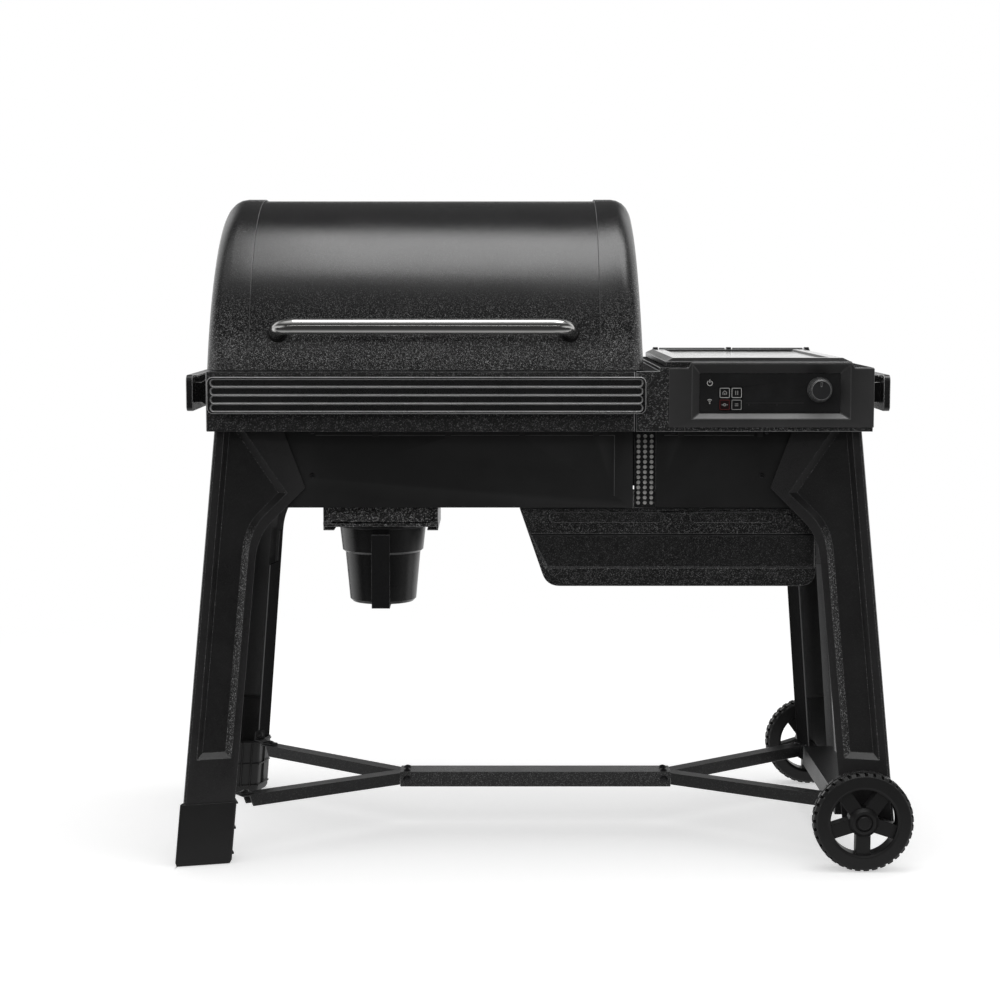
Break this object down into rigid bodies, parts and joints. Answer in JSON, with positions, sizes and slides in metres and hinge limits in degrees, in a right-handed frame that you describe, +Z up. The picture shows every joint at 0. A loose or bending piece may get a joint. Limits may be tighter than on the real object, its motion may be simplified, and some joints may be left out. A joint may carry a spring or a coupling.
{
  "type": "pellet smoker grill",
  "caption": "Free-standing pellet smoker grill: hooded barrel with bar handle, side hopper with control panel, grease bucket, and a splayed-leg cart with wheels on one side.",
  "frame": {"origin": "on the floor under the middle of the whole grill", "axes": "+X to the right along the grill toward the hopper, +Y to the back, +Z up"},
  "size_m": [1.2212, 0.671, 1.1118],
  "materials": {
    "textured_black": "fine textured black powder coat",
    "satin_black": "satin black paint",
    "black_plastic": "moulded, faintly grained",
    "bright_steel": "brushed along its length",
    "plain_steel": "plain sheet and rod",
    "enamelled_iron": "black enamel",
    "panel_glass": "smooth gloss black",
    "red_gloss": "smooth gloss red"
  },
  "bodies": {
    "cart": {"barrel_band": "textured_black", "heat_screens": "textured_black", "hopper_housing": "textured_black", "lower_shroud": "textured_black", "brace_bar": "textured_black", "arm_front_left": "textured_black", "arm_rear_left": "textured_black", "arm_front_right": "textured_black", "arm_rear_right": "textured_black", "bucket_bracket": "textured_black", "exhaust_hood": "textured_black", "leg_front_left": "satin_black", "leg_rear_left": "satin_black", "leg_front_right": "satin_black", "leg_rear_right": "satin_black", "axle_channel": "satin_black", "barrel_skirt": "satin_black", "hopper_skirt": "satin_black", "lid_hinge_brackets": "satin_black", "foot_front_left": "black_plastic", "foot_rear_left": "black_plastic", "front_rail": "black_plastic", "left_rail": "black_plastic", "right_rail": "black_plastic", "rail_standoffs": "black_plastic", "control_bezel": "black_plastic", "controller_box": "black_plastic", "fan_housing": "black_plastic", "power_inlet": "black_plastic", "temperature_probe": "bright_steel", "brace_bolts": "bright_steel", "axle": "plain_steel", "barrel_tub": "plain_steel", "hopper_bin": "plain_steel", "hopper_hinge_pin": "plain_steel", "auger_tube": "plain_steel", "auger_motor": "plain_steel", "fire_pot": "plain_steel", "igniter_rod": "plain_steel", "heat_baffle": "plain_steel", "drip_tray": "plain_steel", "grates": "enamelled_iron", "display_glass": "panel_glass"},
    "lid": {"lid_sheet": "textured_black", "lid_end_left": "textured_black", "lid_end_right": "textured_black", "lid_handle": "bright_steel", "lid_hinge_leaves": "satin_black"},
    "hopper_cover": {"hopper_lid": "textured_black"},
    "knob": {"dial_knob": "black_plastic"},
    "key_upper_left": {"button_upper_left": "panel_glass"},
    "key_upper_right": {"button_upper_right": "panel_glass"},
    "key_lower_left": {"button_lower_left": "red_gloss"},
    "key_lower_right": {"button_lower_right": "panel_glass"},
    "front_roller": {"wheel_front": "black_plastic"},
    "rear_roller": {"wheel_rear": "black_plastic"},
    "bucket": {"grease_bucket": "textured_black", "bucket_strap": "textured_black"},
    "auger": {"auger_screw": "plain_steel"},
    "fan": {"fan_wheel": "plain_steel"}
  },
  "joints": [
    {"name": "lid_hinge", "type": "hinge", "parent": "cart", "child": "lid", "pos_m": [-0.19396, 0.281, 0.831], "axis": [-1, 0, 0], "range_deg": [0, 85]},
    {"name": "hopper_cover_hinge", "type": "hinge", "parent": "cart", "child": "hopper_cover", "pos_m": [0.35454, 0.258, 0.839], "axis": [-1, 0, 0], "range_deg": [0, 95]},
    {"name": "knob_turn", "type": "hinge", "parent": "cart", "child": "knob", "pos_m": [0.45354, -0.27, 0.7915], "axis": [0, -1, 0], "continuous": true},
    {"name": "front_wheel_spin", "type": "hinge", "parent": "cart", "child": "front_roller", "pos_m": [0.52814, -0.3142, 0.0825], "axis": [0, 1, 0], "continuous": true},
    {"name": "rear_wheel_spin", "type": "hinge", "parent": "cart", "child": "rear_roller", "pos_m": [0.52814, 0.3142, 0.0825], "axis": [0, 1, 0], "continuous": true},
    {"name": "bucket_slide", "type": "slide", "parent": "cart", "child": "bucket", "axis": [0, -1, 0], "range_m": [0, 0.26]},
    {"name": "auger_turn", "type": "hinge", "parent": "cart", "child": "auger", "pos_m": [0.29254, -0.02, 0.548], "axis": [1, 0, 0], "continuous": true},
    {"name": "fan_spin", "type": "hinge", "parent": "cart", "child": "fan", "pos_m": [0.19254, 0.085, 0.521], "axis": [0, -1, 0], "continuous": true},
    {"name": "key_press_upper_left", "type": "slide", "parent": "cart", "child": "key_upper_left", "axis": [0, 1, 0], "range_m": [0, 0.0008], "stiffness_N_per_m": 600},
    {"name": "key_press_upper_right", "type": "slide", "parent": "cart", "child": "key_upper_right", "axis": [0, 1, 0], "range_m": [0, 0.0008], "stiffness_N_per_m": 600},
    {"name": "key_press_lower_left", "type": "slide", "parent": "cart", "child": "key_lower_left", "axis": [0, 1, 0], "range_m": [0, 0.0008], "stiffness_N_per_m": 600},
    {"name": "key_press_lower_right", "type": "slide", "parent": "cart", "child": "key_lower_right", "axis": [0, 1, 0], "range_m": [0, 0.0008], "stiffness_N_per_m": 600}
  ]
}
